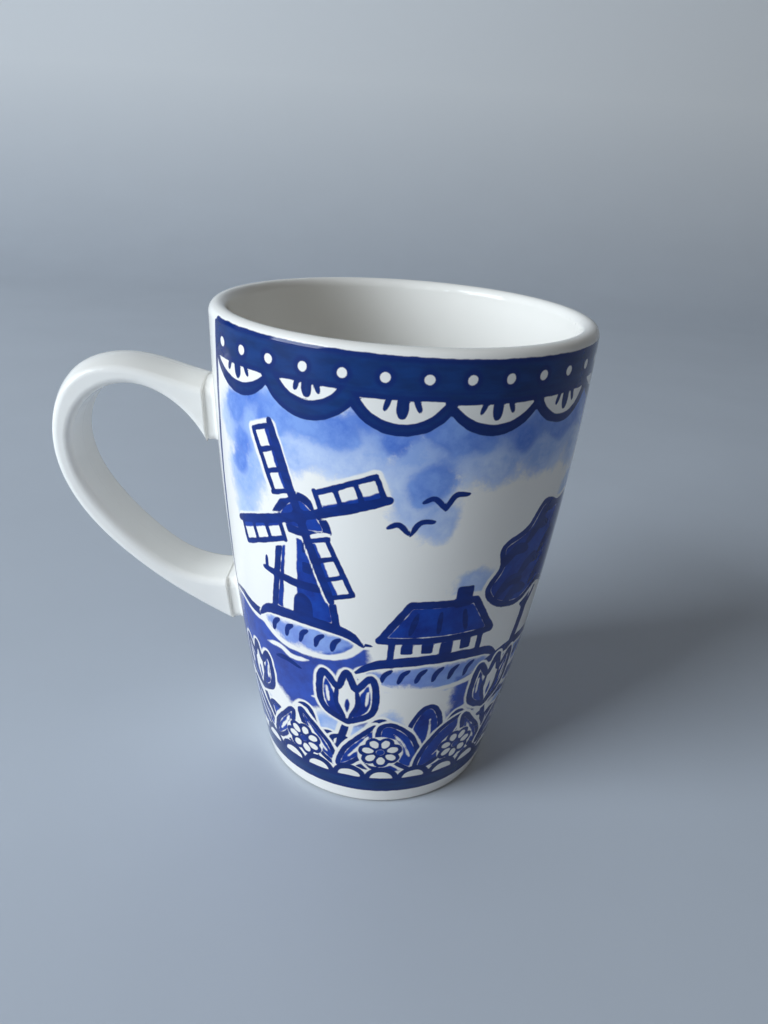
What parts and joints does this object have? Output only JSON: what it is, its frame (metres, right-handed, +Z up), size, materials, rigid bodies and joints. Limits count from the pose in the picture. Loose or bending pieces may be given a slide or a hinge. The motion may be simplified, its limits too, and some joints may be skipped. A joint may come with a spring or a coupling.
{
  "type": "mug",
  "caption": "Tall tapered mug of glazed ceramic with a rounded lip, a foot ring, an ear-shaped side handle on slip collars and a blue brushwork print on white.",
  "frame": {"origin": "centre of the foot ring's resting plane, on the cup's axis", "axes": "+Z up along the cup's axis, the handle points to -X, +Y is across the handle's plane, away from the side that the picture shows"},
  "size_m": [0.1276, 0.088, 0.12],
  "materials": {
    "ceramic": "gloss glaze, white, with a blue print under it; the foot ring's face is unglazed"
  },
  "bodies": {
    "root": {"mug": "ceramic"}
  },
  "joints": []
}
